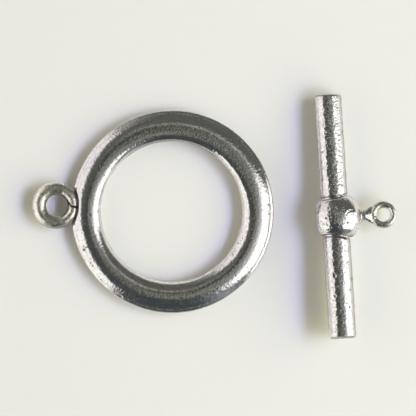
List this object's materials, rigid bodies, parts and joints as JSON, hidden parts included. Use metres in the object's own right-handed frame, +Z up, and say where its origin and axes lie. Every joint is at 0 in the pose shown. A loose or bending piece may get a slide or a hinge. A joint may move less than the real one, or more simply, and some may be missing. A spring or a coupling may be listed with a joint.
{
  "type": "toggle clasp",
  "caption": "Open toggle clasp in antiqued silver colour: a ring with a side loop, and a bar with a ball and a small eye that passes through the ring and locks across it.",
  "frame": {"origin": "middle of the two halves as they lie, on the surface that carries them", "axes": "+X from the ring to the bar and its eye, +Z up from the surface, +Y along the bar toward the end that rests on the surface"},
  "size_m": [0.0454, 0.0304, 0.0052],
  "materials": {
    "ring_metal": "cast zinc alloy with antiqued silver plate, polished on the high faces and dark in the pits and joints",
    "bar_metal": "cast zinc alloy with antiqued silver plate, polished on the high faces and dark in the pits and joints"
  },
  "bodies": {
    "root": {"toggle_ring": "ring_metal", "toggle_bar": "bar_metal"}
  },
  "joints": []
}
